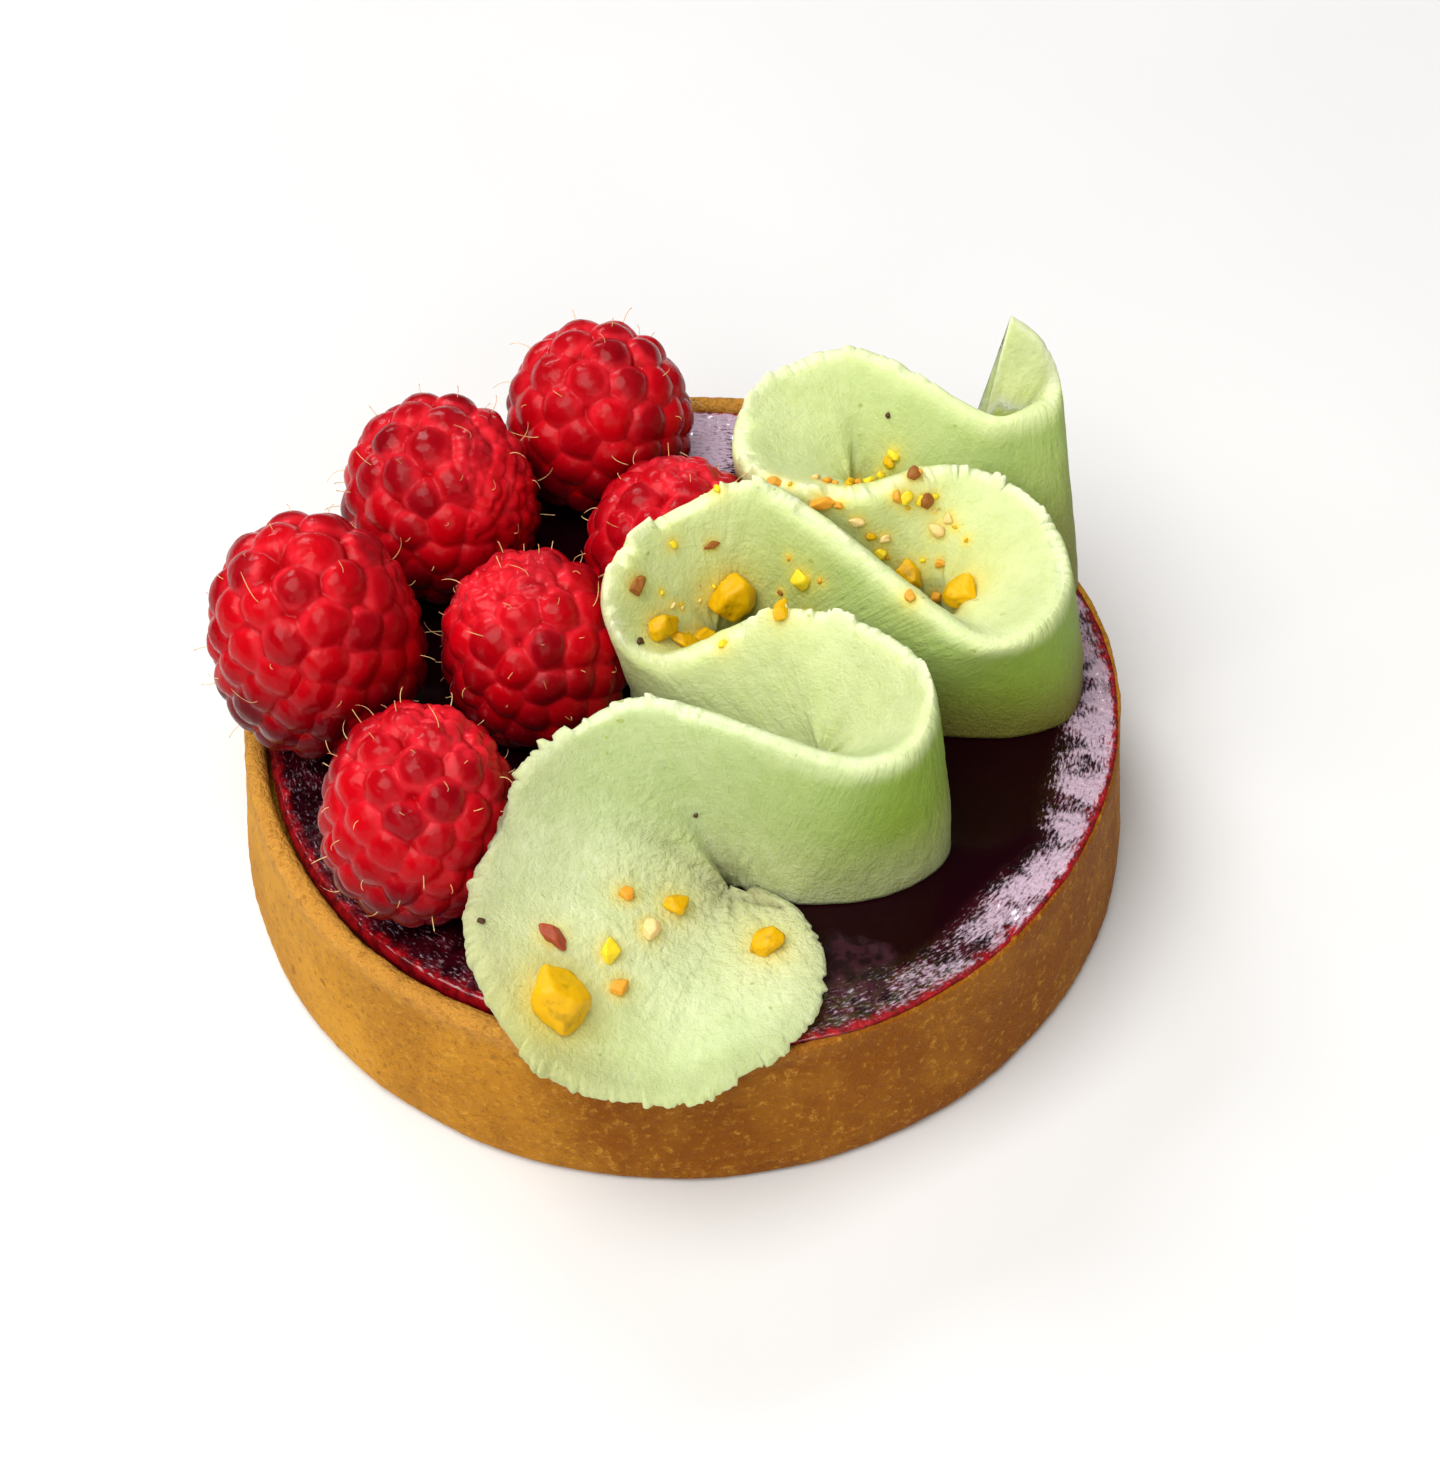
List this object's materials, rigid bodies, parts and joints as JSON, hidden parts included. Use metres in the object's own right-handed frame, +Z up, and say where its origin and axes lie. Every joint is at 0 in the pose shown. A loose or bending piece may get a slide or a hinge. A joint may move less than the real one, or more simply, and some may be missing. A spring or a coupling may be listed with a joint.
{
  "type": "pistachio raspberry tart",
  "caption": "Round shortcrust tart filled with raspberry jelly, topped with whole raspberries and a winding piped ribbon of pistachio cream with nut pieces.",
  "frame": {"origin": "centre of the round underside of the pastry case, on the surface that the tart stands on", "axes": "+Z up, -Y towards the front where the ribbon of cream ends in a flat flap, +X to the right along which the ribbon stands; the raspberries stand on the -X side"},
  "size_m": [0.0826, 0.0862, 0.0413],
  "materials": {
    "shortcrust": "golden brown baked shortcrust, fine grain, matte",
    "jelly": "dark raspberry jelly, glossy, finely wrinkled towards the rim",
    "raspberry": "fresh raspberry drupelets, soft gloss",
    "pistachio_cream": "pale green piped cream, smooth with fine pores, with amber and brown roasted nut pieces"
  },
  "bodies": {
    "root": {"crust": "shortcrust", "raspberry_jelly": "jelly", "raspberry_1": "raspberry", "raspberry_2": "raspberry", "raspberry_3": "raspberry", "raspberry_4": "raspberry", "raspberry_5": "raspberry", "raspberry_6": "raspberry", "cream_ribbon": "pistachio_cream"}
  },
  "joints": []
}
